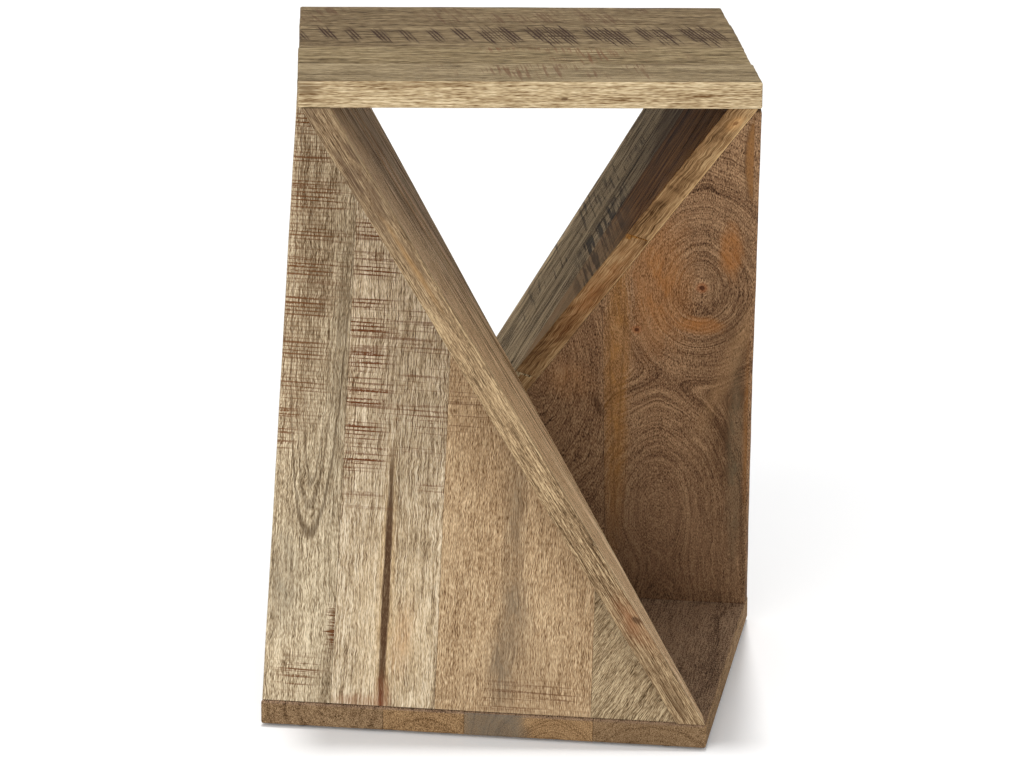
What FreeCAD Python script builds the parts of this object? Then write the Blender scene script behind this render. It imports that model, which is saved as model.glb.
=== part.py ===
import FreeCAD, Part
import os
import Sketcher

# An accent table of solid boards: a square top and a square base, turned against each other about the upright axis,
# and two V-shaped legs between them. Each leg is a standing panel, on an edge of the base, and a hanging panel, under
# an edge of the top. They meet along a ridge, where the hanging panel runs past and the standing one butts against it.
# Lengths are millimetres and angles degrees. X is to the right, Y to the back, Z up, and the floor is at Z = 0.

SIZES = (
    ("slab_side", "406"),           # side of the square top and of the square base
    ("overall_height", "602"),      # from the floor to the top's upper face
    ("top_thickness", "24"),
    ("base_thickness", "22"),
    ("panel_thickness", "22"),
    ("twist_angle", "10.6"),        # how far the base is turned clockwise under the top
    ("panel_reveal", "3.5"),        # from a slab's edge to the face of the panel along it
    ("free_edge_reveal", "0.3"),    # from a slab's edge to a panel's free edge
    ("tip_reveal", "0.5"),          # from a slab's corner to the face of the panel that ends there
    ("slab_arris", "2"),            # rounding of the outer arrises of top and base
    ("panel_arris", "1"),           # chamfer of the arrises along a panel's free edge
    ("dowel_diameter", "8"),
    ("dowel_in_slab", "14"),        # depth of a dowel in the top or the base
    ("dowel_in_panel", "26"),       # depth of a dowel in the end or edge of a panel
    ("dowel_in_face", "13"),        # depth of a ridge dowel in the face of the hanging panel
    ("dowel_clearance", "0.1"),     # radial room of a dowel or pin in its hole
    ("dowel_end_room", "1"),        # room past each end of a dowel or pin for glue
    ("glide_diameter", "20"),
    ("glide_height", "2.5"),
    ("glide_chamfer", "0.8"),
    ("glide_pin_diameter", "3"),
    ("glide_pin_length", "12"),
    ("glide_side_inset", "36"),     # from the left or right edge of the base to a glide's axis
    ("glide_edge_inset", "18"),     # from the front or back edge of the base to a glide's axis
    ("cut_overrun", "20"),          # how far a cutting block reaches past what it cuts
)

# Worked out from the sizes. A panel is described in its own frame, in which it stands on the base: x runs along its
# long edge from the free edge towards the ridge, y leans with it to the back. The ridge is a plane that, in that
# frame, is turned by the twist, so a distance square to it is x * cos(twist) + y * sin(twist).
WORKED = (
    ("half_side", "Sizes.slab_side / 2"),
    ("base_top", "Sizes.glide_height + Sizes.base_thickness"),
    ("top_underside", "Sizes.overall_height - Sizes.top_thickness"),
    ("clear_height", "top_underside - base_top"),
    ("corner_reach", "half_side * (cos(Sizes.twist_angle) - sin(Sizes.twist_angle))"),
    ("lean_span", "half_side - Sizes.panel_reveal + corner_reach - Sizes.tip_reveal"),
    ("lean_angle", "acos(Sizes.panel_thickness / hypot(lean_span; clear_height)) - atan2(clear_height; lean_span)"),
    ("panel_depth", "Sizes.panel_thickness / cos(lean_angle)"),
    ("lean_shift", "clear_height * tan(lean_angle)"),
    ("edge_twist", "panel_depth * tan(Sizes.twist_angle)"),
    ("foot_front", "Sizes.panel_reveal - half_side"),
    ("foot_back", "foot_front + panel_depth"),
    ("head_front", "foot_front + lean_shift"),
    ("foot_edge", "Sizes.free_edge_reveal - half_side"),
    ("head_edge", "(Sizes.free_edge_reveal - half_side - head_front * sin(Sizes.twist_angle)) / cos(Sizes.twist_angle)"),
    ("edge_drift", "head_edge - foot_edge"),
    ("ridge_drift", "-lean_shift / cos(Sizes.twist_angle)"),
    ("cut_reach", "Sizes.slab_side + half_side + lean_shift"),
    ("dowel_radius", "Sizes.dowel_diameter / 2"),
    ("pin_radius", "Sizes.glide_pin_diameter / 2"),
)

# Board joints, as shares of the slab's side: of the top from front to back, of the base from left to right, and of a
# panel from its free edge to the ridge.
TOP_JOINT_SHARES = (0.224, 0.432, 0.752)
BASE_JOINT_SHARES = (0.277, 0.46, 0.749)
TOP_BOARDS = ("top_board_front", "top_board_front_middle", "top_board_back_middle", "top_board_back")
BASE_BOARDS = ("base_board_left", "base_board_left_middle", "base_board_right_middle", "base_board_right")

# Each leg: its two panels with the turn of each about the upright axis and its board joints, and the dowels as shares
# of the slab's side along the long edges, and of the height, counted from the top, along the ridge.
LEGS = (
    {
        "name": "left_leg",
        "standing": "front_panel",
        "standing_yaw": "-Sizes.twist_angle",
        "standing_joint_shares": (0.156, 0.391, 0.742),
        "standing_dowel_shares": (0.115, 0.33, 0.6, 0.84),
        "hanging": "left_panel",
        "hanging_yaw": "90",
        "hanging_joint_shares": (0.2, 0.45, 0.72),
        "hanging_dowel_shares": (0.1, 0.33, 0.6, 0.86),
        "ridge_dowel_shares": (0.12, 0.34, 0.66, 0.88),
    },
    {
        "name": "right_leg",
        "standing": "back_panel",
        "standing_yaw": "180 - Sizes.twist_angle",
        "standing_joint_shares": (0.339, 0.62, 0.83),
        "standing_dowel_shares": (0.12, 0.3, 0.44, 0.78),
        "hanging": "right_panel",
        "hanging_yaw": "270",
        "hanging_joint_shares": (0.28, 0.5, 0.76),
        "hanging_dowel_shares": (0.12, 0.38, 0.64, 0.88),
        "ridge_dowel_shares": (0.12, 0.32, 0.6, 0.83),
    },
)

UPRIGHT = "placement(vector(0; 0; 0); rotation(0; 0; 0))"
BASE_TURN = "placement(vector(0; 0; 0); rotation(-Sizes.twist_angle; 0; 0))"

doc = FreeCAD.newDocument("accent_table")
pieces = []


def fill_sheet(name, rows, prefix):
    """A sheet with one row per value: its name, and the value in a cell with that name as alias."""
    sheet = doc.addObject("Spreadsheet::Sheet", name)
    for row, (alias, value) in enumerate(rows, start=1):
        sheet.set(f"A{row}", alias)
        sheet.set(f"B{row}", prefix + value)
        sheet.setAlias(f"B{row}", alias)
    doc.recompute()


def bind(item, **expressions):
    """Bind properties of an object to expressions on the sheets; two underscores stand for a dot."""
    for path, expression in expressions.items():
        item.setExpression(path.replace("__", "."), expression)
    return item


def outline_sketch(body, role, corners, level="0"):
    """A closed outline of straight lines through corners given as pairs of expressions, on an origin plane."""
    plane = next(feature for feature in body.Origin.OriginFeatures if feature.Role == role)
    sketch = body.newObject("Sketcher::SketchObject", body.Name + "_outline")
    sketch.AttachmentSupport = (plane, [""])
    sketch.MapMode = "FlatFace"
    bind(sketch, AttachmentOffset__Base__z=level)
    start = [FreeCAD.Vector(*(float(sketch.evalExpression(text)) for text in corner), 0) for corner in corners]
    count = len(corners)
    for index in range(count):
        sketch.addGeometry(Part.LineSegment(start[index], start[(index + 1) % count]))
    for index in range(count):
        sketch.addConstraint(Sketcher.Constraint("Coincident", index, 2, (index + 1) % count, 1))
    for index, corner in enumerate(corners):
        for kind, text, place in zip(("DistanceX", "DistanceY"), corner, start[index]):
            number = sketch.addConstraint(Sketcher.Constraint(kind, index, 1, place))
            sketch.setExpression(f"Constraints[{number}]", text)
    return sketch


def slanted(feature, sketch, drift_x, drift_y):
    """Carry a sketch from the base up to the top along a slanted direction."""
    feature.Profile = sketch
    feature.UseCustomVector = True
    feature.AlongSketchNormal = True
    bind(feature, Direction__x=drift_x, Direction__y=drift_y, Direction__z="Worked.clear_height")
    return bind(feature, Length="Worked.clear_height")


def joined(kind, name, base, tool):
    """A boolean of two objects, such as a cut or a common."""
    result = doc.addObject(kind, name)
    result.Base = base
    result.Tool = tool
    return result


def group(name, members, placement=UPRIGHT):
    """Separate solids kept together under one placement."""
    bundle = doc.addObject("Part::Compound", name)
    bundle.Links = members
    return bind(bundle, Placement=placement)


def keep(item, label, solids=1):
    """Note an object as a finished piece of the table, with the number of separate solids in it."""
    item.Label = label
    pieces.append((item, solids))
    return item


def ridge_x(square_distance, y):
    """Where a line parallel to the ridge plane crosses a given y in the panel's frame."""
    return f"(({square_distance}) - ({y}) * sin(Sizes.twist_angle)) / cos(Sizes.twist_angle)"


def peg(name, radius, length, spot, turn):
    """A round peg or drill: its start as three expressions, and its turn about the panel's x axis."""
    cylinder = doc.addObject("Part::Cylinder", name)
    place = f"placement(vector({spot[0]}; {spot[1]}; {spot[2]}); rotation(vector(1; 0; 0); {turn}))"
    return bind(cylinder, Radius=radius, Height=length, Placement=place)


def pegs_and_drills(name, spots, step, turn, before, after, placement):
    """Dowels through the given spots, and the drills for their holes, wider by the clearance and longer at both ends.

    A dowel starts the length before ahead of its spot and ends the length after past it, along step.
    """
    def row(suffix, radius, room):
        back = f"({before} + {room})"
        length = f"{before} + {after} + 2 * {room}"
        members = []
        for number, spot in enumerate(spots, start=1):
            start = [f"({place}) - {back} * ({rise})" for place, rise in zip(spot, step)]
            members.append(peg(f"{name}{suffix}_{number}", radius, length, start, turn))
        return group(name + suffix, members, placement)

    dowels = row("_pegs", "Worked.dowel_radius", "0")
    drills = row("_drills", "(Worked.dowel_radius + Sizes.dowel_clearance)", "Sizes.dowel_end_room")
    return dowels, drills


def panel_placement(yaw, hanging):
    """A standing panel turned about the upright axis, or a hanging one, turned over between base and top."""
    if hanging:
        return f"placement(vector(0; 0; Worked.base_top + Worked.top_underside); rotation({yaw}; 0; 180))"
    return f"placement(vector(0; 0; 0); rotation({yaw}; 0; 0))"


def board_corners(start_share, end_share):
    """The foot of one board of a panel; the first board runs out along the free edge, past the base at the back."""
    front = "Worked.foot_front"
    back = "Worked.foot_back"
    left = f"Worked.foot_edge + Sizes.slab_side * {start_share}"
    right = f"Worked.foot_edge + Sizes.slab_side * {end_share}"
    if end_share == 1:
        right = f"{right} + Sizes.cut_overrun"
    right_side = [(right, front), (right, back)]
    if start_share > 0:
        return [(left, front), *right_side, (left, back)]
    soft = "Sizes.panel_arris"
    return [
        (f"{left} + {soft}", front),
        *right_side,
        (f"{left} - Worked.edge_twist", back),
        (f"{left} - {soft} * tan(Sizes.twist_angle)", f"{front} + {soft}"),
    ]


def free_edge_waste():
    """What is planed off the free edge, which is flush with the base at its foot and with the top at its head."""
    front = "Worked.foot_front - Sizes.cut_overrun"
    back = "Worked.foot_back"
    past_back = "Worked.foot_back + Sizes.cut_overrun"
    flush = "Worked.foot_edge"
    outside = "Worked.foot_edge - Worked.edge_twist - Sizes.cut_overrun"
    soft = "Sizes.panel_arris"
    return [
        (outside, front),
        (flush, front),
        (flush, f"{back} - {soft}"),
        (f"{flush} + {soft}", back),
        (f"{flush} + {soft}", past_back),
        (outside, past_back),
    ]


def panel_boards(name, joint_shares, placement, ridge_distance, drills):
    """The boards of a panel: strips along its free edge, sawn off along the ridge and drilled for their dowels."""
    low = "Worked.foot_front - Sizes.cut_overrun"
    high = "Worked.head_front + Worked.panel_depth + Sizes.cut_overrun"
    waste = [
        (ridge_x(ridge_distance, low), low),
        ("Worked.cut_reach", low),
        ("Worked.cut_reach", high),
        (ridge_x(ridge_distance, high), high),
    ]
    limits = (0, *joint_shares, 1)
    for number, (start_share, end_share) in enumerate(zip(limits, limits[1:]), start=1):
        body = doc.addObject("PartDesign::Body", f"{name}_strip_{number}")
        foot = outline_sketch(body, "XY_Plane", board_corners(start_share, end_share), "Worked.base_top")
        strip = body.newObject("PartDesign::Pad", f"{body.Name}_board")
        slanted(strip, foot, "Worked.edge_drift", "Worked.lean_shift")
        cutter = outline_sketch(body, "XY_Plane", waste, "Worked.base_top")
        saw_cut = body.newObject("PartDesign::Pocket", f"{body.Name}_ridge_cut")
        slanted(saw_cut, cutter, "Worked.ridge_drift", "0")
        if number == 1:
            shavings = outline_sketch(body, "XY_Plane", free_edge_waste(), "Worked.base_top")
            plane_cut = body.newObject("PartDesign::Pocket", f"{body.Name}_edge_cut")
            slanted(plane_cut, shavings, "Worked.edge_drift - Worked.edge_twist", "Worked.lean_shift")
        bind(body, Placement=placement)
        board = joined("Part::Cut", f"{name}_drilled_{number}", body, drills)
        keep(board, f"{name}_board_{number}")


def slab_boards(names, joint_shares, thickness, level, placement, along_x, drills):
    """The boards of the top or the base: slices of a square slab with rounded arrises, drilled for their dowels."""
    body = doc.addObject("PartDesign::Body", names[0] + "_slab")
    side = "Worked.half_side"
    corners = [(f"-{side}", f"-{side}"), (side, f"-{side}"), (side, side), (f"-{side}", side)]
    pad = body.newObject("PartDesign::Pad", body.Name + "_pad")
    pad.Profile = outline_sketch(body, "XY_Plane", corners, level)
    bind(pad, Length=thickness)
    doc.recompute()
    rounding = body.newObject("PartDesign::Fillet", body.Name + "_arrises")
    rounding.Base = (pad, [""])
    rounding.UseAllEdges = True
    bind(rounding, Radius="Sizes.slab_arris")
    bind(body, Placement=placement)
    limits = (0, *joint_shares, 1)
    for name, start_share, end_share in zip(names, limits, limits[1:]):
        start = f"-{side} + Sizes.slab_side * {start_share}"
        width = f"Sizes.slab_side * {end_share - start_share}"
        slice_box = doc.addObject("Part::Box", name + "_slice")
        spot = f"vector(-{side}; {start}; {level})" if along_x else f"vector({start}; -{side}; {level})"
        bind(slice_box, Height=thickness, Placement=f"{placement} * placement({spot}; rotation(0; 0; 0))")
        bind(slice_box, Length="Sizes.slab_side" if along_x else width)
        bind(slice_box, Width=width if along_x else "Sizes.slab_side")
        blank = joined("Part::Common", name + "_blank", body, slice_box)
        keep(joined("Part::Cut", name + "_drilled", blank, drills), name)


def leg(plan):
    """Both panels of a leg with their dowels; returns the drills that reach into the base and into the top."""
    standing = panel_placement(plan["standing_yaw"], False)
    hanging = panel_placement(plan["hanging_yaw"], True)
    up_slope = ("0", "sin(Worked.lean_angle)", "cos(Worked.lean_angle)")
    out_of_face = ("0", "-cos(Worked.lean_angle)", "sin(Worked.lean_angle)")
    in_slab = "Sizes.dowel_in_slab"
    in_panel = "Sizes.dowel_in_panel"
    middle = "Worked.foot_front + Worked.panel_depth / 2"

    def long_edge_row(name, shares, placement):
        spots = [(f"Sizes.slab_side * {share} - Worked.half_side", middle, "Worked.base_top") for share in shares]
        return pegs_and_drills(name, spots, up_slope, "-Worked.lean_angle", in_slab, in_panel, placement)

    base_name = plan["standing"] + "_base_dowels"
    top_name = plan["hanging"] + "_top_dowels"
    base_dowels, base_drills = long_edge_row(base_name, plan["standing_dowel_shares"], standing)
    top_dowels, top_drills = long_edge_row(top_name, plan["hanging_dowel_shares"], hanging)

    ridge_name = plan["name"] + "_ridge_dowels"
    ridge_spots = []
    for share in plan["ridge_dowel_shares"]:
        face = f"Worked.foot_front + Worked.lean_shift * {share}"
        mate_middle = f"Worked.head_front - Worked.lean_shift * {share} + Worked.panel_depth / 2"
        ridge_spots.append((ridge_x(mate_middle, face), face, f"Worked.base_top + Worked.clear_height * {share}"))
    ridge_turn = "90 deg - Worked.lean_angle"
    ridge_dowels, ridge_drills = pegs_and_drills(
        ridge_name, ridge_spots, out_of_face, ridge_turn, "Sizes.dowel_in_face", in_panel, hanging)

    foot_name = plan["hanging"] + "_foot_dowel"
    foot_y = "Worked.head_front + Worked.panel_depth / 2"
    foot_ridge = ridge_x("Worked.foot_front + Worked.panel_depth", foot_y)
    foot_x = f"(Worked.head_edge - Worked.edge_twist / 2 + {foot_ridge}) / 2"
    foot_spots = [(foot_x, foot_y, "Worked.top_underside")]
    foot_dowel, foot_drill = pegs_and_drills(
        foot_name, foot_spots, up_slope, "-Worked.lean_angle", in_panel, in_slab, hanging)

    standing_drills = group(plan["standing"] + "_all_drills", [base_drills, ridge_drills])
    hanging_drills = group(plan["hanging"] + "_all_drills", [top_drills, ridge_drills, foot_drill])
    ridge = "Worked.head_front"
    panel_boards(plan["standing"], plan["standing_joint_shares"], standing, ridge, standing_drills)
    ridge_past = "Worked.head_front + Worked.panel_depth"
    panel_boards(plan["hanging"], plan["hanging_joint_shares"], hanging, ridge_past, hanging_drills)
    keep(base_dowels, base_name, len(plan["standing_dowel_shares"]))
    keep(top_dowels, top_name, len(plan["hanging_dowel_shares"]))
    keep(ridge_dowels, ridge_name, len(plan["ridge_dowel_shares"]))
    keep(foot_dowel, foot_name)
    return [base_drills, foot_drill], [top_drills]


def floor_glides():
    """Four round glides under the base, each turned in one piece with its pin; returns the drills for the pins."""
    radius = "Sizes.glide_diameter / 2"
    rise = "Sizes.glide_height"
    pin_top = "Sizes.glide_height + Sizes.glide_pin_length"
    profile = [
        ("0", "0"),
        (f"{radius} - Sizes.glide_chamfer", "0"),
        (radius, "Sizes.glide_chamfer"),
        (radius, rise),
        ("Worked.pin_radius", rise),
        ("Worked.pin_radius", pin_top),
        ("0", pin_top),
    ]
    glides = []
    drills = []
    for side in ("-1", "1"):
        for edge in ("-1", "1"):
            number = len(glides) + 1
            x = f"{side} * (Worked.half_side - Sizes.glide_side_inset)"
            y = f"{edge} * (Worked.half_side - Sizes.glide_edge_inset)"
            body = doc.addObject("PartDesign::Body", f"glide_{number}")
            turned = body.newObject("PartDesign::Revolution", f"glide_turned_{number}")
            sketch = outline_sketch(body, "XZ_Plane", profile)
            turned.Profile = sketch
            turned.ReferenceAxis = (sketch, ["V_Axis"])
            turned.Angle = 360
            bind(body, Placement=f"placement(vector({x}; {y}; 0); rotation(0; 0; 0))")
            glides.append(body)
            hole = "Worked.pin_radius + Sizes.dowel_clearance"
            depth = "Sizes.glide_pin_length + Sizes.dowel_end_room"
            drills.append(peg(f"glide_drill_{number}", hole, depth, (x, y, rise), "0"))
    keep(group("glides", glides, BASE_TURN), "floor_glides", len(glides))
    return group("glide_drills", drills, BASE_TURN)


def check_and_write():
    """Stop at any failed object or bad solid, then write one file per piece."""
    doc.recompute()
    for item in doc.Objects:
        if "Invalid" in item.State or "Error" in item.State:
            raise RuntimeError(f"{item.Label} failed: {item.State}")
    for item, solids in pieces:
        shape = item.Shape
        if shape.isNull() or not shape.isValid() or len(shape.Solids) != solids:
            raise RuntimeError(f"{item.Label} is not {solids} sound solid(s)")
    os.makedirs("parts", exist_ok=True)
    for item, solids in pieces:
        item.Shape.exportStep(f"parts/{item.Label}.step")
        print(f"{item.Label}: {solids} solid(s), {item.Shape.Volume / 1000:.1f} cm3")


fill_sheet("Sizes", SIZES, "")
fill_sheet("Worked", WORKED, "=")
drills_in_base = [floor_glides()]
drills_in_top = []
for plan in LEGS:
    into_base, into_top = leg(plan)
    drills_in_base += into_base
    drills_in_top += into_top
base_drills = group("base_drills", drills_in_base)
top_drills = group("top_drills", drills_in_top)
slab_boards(BASE_BOARDS, BASE_JOINT_SHARES, "Sizes.base_thickness", "Sizes.glide_height", BASE_TURN, False, base_drills)
slab_boards(TOP_BOARDS, TOP_JOINT_SHARES, "Sizes.top_thickness", "Worked.top_underside", UPRIGHT, True, top_drills)
check_and_write()
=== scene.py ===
import math

import bpy
import numpy as np
from mathutils import Matrix, Vector


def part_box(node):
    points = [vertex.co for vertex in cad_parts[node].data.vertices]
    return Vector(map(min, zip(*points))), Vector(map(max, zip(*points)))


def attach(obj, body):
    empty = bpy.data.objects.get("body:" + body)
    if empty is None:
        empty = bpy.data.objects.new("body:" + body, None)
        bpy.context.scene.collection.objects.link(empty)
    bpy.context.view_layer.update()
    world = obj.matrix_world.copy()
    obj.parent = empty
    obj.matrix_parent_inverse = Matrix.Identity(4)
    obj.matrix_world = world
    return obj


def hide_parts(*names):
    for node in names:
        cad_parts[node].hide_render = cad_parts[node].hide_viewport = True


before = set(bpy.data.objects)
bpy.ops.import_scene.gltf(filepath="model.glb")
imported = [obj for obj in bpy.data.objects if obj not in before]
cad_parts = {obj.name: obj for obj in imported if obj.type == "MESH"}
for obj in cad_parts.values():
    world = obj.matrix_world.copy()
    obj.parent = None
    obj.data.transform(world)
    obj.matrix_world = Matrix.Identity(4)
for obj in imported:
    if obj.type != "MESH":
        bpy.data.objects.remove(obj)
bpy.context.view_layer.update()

# An accent table of rough-sawn boards. Every board is rebuilt here with worn, softened arrises and uneven faces, in
# the place of its solid, and gets a wood of its own. Lengths are metres; the frame is that of the solids.

# Sizes of the table, from the boxes of its slabs and from the sizes of the part. A reveal is how far a panel stands
# back from the rim of a slab.
top_low, top_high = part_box("top_board_front")
base_low, base_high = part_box("base_board_left")
SIDE = top_high.x - top_low.x
HALF = SIDE / 2
TOP_UNDER, TOP_FACE = top_low.z, top_high.z
BASE_UNDER, BASE_FACE = base_low.z, base_high.z
CLEAR = TOP_UNDER - BASE_FACE
TWIST = math.radians(10.6)
PANEL = 0.022
PANEL_REVEAL = 0.0035
EDGE_REVEAL = 0.0003
TIP_REVEAL = 0.0005

# A panel in its own frame, in which it stands on the base: x along its foot, y leaning with it to the back.
SIN, COS = math.sin(TWIST), math.cos(TWIST)
LEAN_SPAN = HALF - PANEL_REVEAL + HALF * (COS - SIN) - TIP_REVEAL
LEAN = math.acos(PANEL / math.hypot(LEAN_SPAN, CLEAR)) - math.atan2(CLEAR, LEAN_SPAN)
DEPTH = PANEL / math.cos(LEAN)
SHIFT = CLEAR * math.tan(LEAN)
FOOT_FRONT = PANEL_REVEAL - HALF
HEAD_FRONT = FOOT_FRONT + SHIFT
FOOT_EDGE = EDGE_REVEAL - HALF
HEAD_EDGE = (EDGE_REVEAL - HALF - HEAD_FRONT * SIN) / COS
EDGE_DRIFT = HEAD_EDGE - FOOT_EDGE
EDGE_TWIST = DEPTH * SIN / COS
SLOPE = math.sqrt(EDGE_DRIFT**2 + SHIFT**2 + CLEAR**2)
TIP_WIDTH = 0.0012

# Boards: the joints as shares of a slab's or panel's width, and how much is trimmed off each slab board's two ends.
TOP_JOINTS = (0.224, 0.432, 0.752)
BASE_JOINTS = (0.277, 0.46, 0.749)
TOP_BOARDS = ("top_board_front", "top_board_front_middle", "top_board_back_middle", "top_board_back")
BASE_BOARDS = ("base_board_left", "base_board_left_middle", "base_board_right_middle", "base_board_right")
END_TRIMS = {
    "top_board_front": (0.0004, 0.0000), "top_board_front_middle": (0.0000, 0.0009),
    "top_board_back_middle": (0.0005, 0.0002), "top_board_back": (0.0001, 0.0012),
    "base_board_left": (0.0000, 0.0002), "base_board_left_middle": (0.0003, 0.0001),
    "base_board_right_middle": (0.0001, 0.0003), "base_board_right": (0.0002, 0.0000),
}

# The panels' own frames. Two stand on the base. Two are turned over and hang from the top, and these run past the
# ridge by their depth.
OVER = Matrix.Translation((0, 0, BASE_FACE + TOP_UNDER)) @ Matrix.Rotation(math.pi, 4, "X")
PANELS = {
    "front_panel": {"joints": (0.156, 0.391, 0.742), "frame": Matrix.Rotation(-TWIST, 4, "Z"), "past": 0},
    "back_panel": {"joints": (0.339, 0.62, 0.83), "frame": Matrix.Rotation(math.pi - TWIST, 4, "Z"), "past": 0},
    "left_panel": {"joints": (0.2, 0.45, 0.72), "frame": Matrix.Rotation(math.pi / 2, 4, "Z") @ OVER, "past": 1},
    "right_panel": {"joints": (0.28, 0.5, 0.76), "frame": Matrix.Rotation(-math.pi / 2, 4, "Z") @ OVER, "past": 1},
}

# The mesh of a board: its steps, the radii of its arrises, and the places in a rounding as shares of its radius.
# Then how deep its faces, ends and free edge are worn.
STEP_ALONG, STEP_ACROSS, STEP_DEEP = 0.004, 0.006, 0.005
JOINT_ROUND, OUTER_ROUND, FACE_ROUND = 0.0003, 0.0020, 0.0010
ARC = np.array([0.0, 0.3])
FACE_WEAR, END_WEAR, EDGE_WEAR = 0.0003, 0.0006, 0.0004

# Edge values of a board's points: on a free arris, on one at a tight joint, and on a sawn end or ridge face. A point
# lies on an arris where its distances into two roundings add up to a length of about 1 + ARRIS_REACH.
FREE_ARRIS, TIGHT_ARRIS, SAWN = 1, -1, 2
ARRIS_REACH = 0.4

# From which depth a point starts to count as lying on a face, and from which it fully does; then the same for the
# place across and a panel's free edge.
ON_FACE = (0.0030, 0.0010)
ON_EDGE = (0.0022, 0.0008)

# How fine the noises of a wood are along, across and deep, and over what distance the rings of two hearts blend.
SWAY, RIPPLE = (5, 13, 13), (75, 30, 30)
CLOUD, MOTTLE = (3, 19, 19), (26, 60, 60)
STREAK, THREAD, PORE = (8, 110, 110), (34, 1150, 1150), (110, 1500, 1500)
HEART_BLEND = 0.03


class Socket:
    """An output of a node; arithmetic on it adds Math nodes to its finish."""

    def __init__(self, finish, output):
        self.finish = finish
        self.output = output

    def __add__(self, other):
        return self.finish.math("ADD", self, other)

    def __sub__(self, other):
        return self.finish.math("SUBTRACT", self, other)

    def __rsub__(self, other):
        return self.finish.math("SUBTRACT", other, self)

    def __mul__(self, other):
        return self.finish.math("MULTIPLY", self, other)

    def __truediv__(self, other):
        return self.finish.math("DIVIDE", self, other)

    def __pow__(self, other):
        return self.finish.math("POWER", self, other)

    __radd__ = __add__
    __rmul__ = __mul__

    def sine(self):
        return self.finish.math("SINE", self)

    def step(self, low, high):
        """A smooth step from 0 below low to 1 above high, or the other way round where low is above high."""
        if low > high:
            return 1 - self.step(high, low)
        settings = {"interpolation_type": "SMOOTHSTEP"}
        return self.finish.node("ShaderNodeMapRange", settings, {0: self, 1: low, 2: high})

    def band(self, low, high, soft):
        """1 between low and high, falling to 0 over the width soft on both sides."""
        return self.step(low - soft, low + soft) * self.step(high + soft, high - soft)


class Finish:
    """A material or a world in the making."""

    def __init__(self, made):
        self.made = made
        made.use_nodes = True
        self.tree = made.node_tree
        self.tree.nodes.clear()

    def node(self, kind, settings=None, sockets=None, output=0):
        """Add a node: its settings first, then the values or links of its sockets. Returns one of its outputs."""
        node = self.tree.nodes.new(kind)
        for key, value in (settings or {}).items():
            setattr(node, key, value)
        for key, value in (sockets or {}).items():
            if isinstance(value, Socket):
                self.tree.links.new(value.output, node.inputs[key])
            else:
                node.inputs[key].default_value = value
        return Socket(self, node.outputs[output])

    def math(self, operation, *values):
        return self.node("ShaderNodeMath", {"operation": operation}, dict(enumerate(values)))

    def mix(self, share, first, second):
        """The second colour over the first, by the share."""
        return self.node("ShaderNodeMix", {"data_type": "RGBA"}, {0: share, 6: first, 7: second}, 2)

    def noise(self, place, scale, seed, detail=2.0, roughness=0.55):
        """Cloudy noise from 0 to 1, stretched by a scale for each direction of the board."""
        sockets = {0: place, 1: scale, 2: (seed, seed, seed)}
        stretched = self.node("ShaderNodeVectorMath", {"operation": "MULTIPLY_ADD"}, sockets)
        sockets = {"Vector": stretched, "Scale": 1.0, "Detail": detail, "Roughness": roughness}
        return self.node("ShaderNodeTexNoise", {}, sockets)

    def surface(self, shader, end="ShaderNodeOutputMaterial"):
        """End with this shader, and return the material or world."""
        last = self.tree.nodes.new(end)
        self.tree.links.new(shader.output, last.inputs["Surface"])
        return self.made

    def principled(self, sockets):
        return self.node("ShaderNodeBsdfPrincipled", {}, sockets)


def paint(red, green, blue):
    """A colour as a painter reads it, 0 to 255, as the linear colour that a shader takes."""
    shares = np.array([red, green, blue]) / 255
    linear = np.where(shares <= 0.04045, shares / 12.92, ((shares + 0.055) / 1.055) ** 2.4)
    return (*linear.tolist(), 1.0)


def places_between(step, low, high):
    """Places from 0 to 1 along a board's edge: close together in the two roundings, evenly spaced between them."""
    count = max(2, round((1 - 1.5 * (low + high)) / step) + 1)
    middle = np.linspace(1.5 * low, 1 - 1.5 * high, count)
    return np.concatenate([low * ARC, [low], middle, [1 - high], 1 - high * ARC[::-1]])


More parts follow.
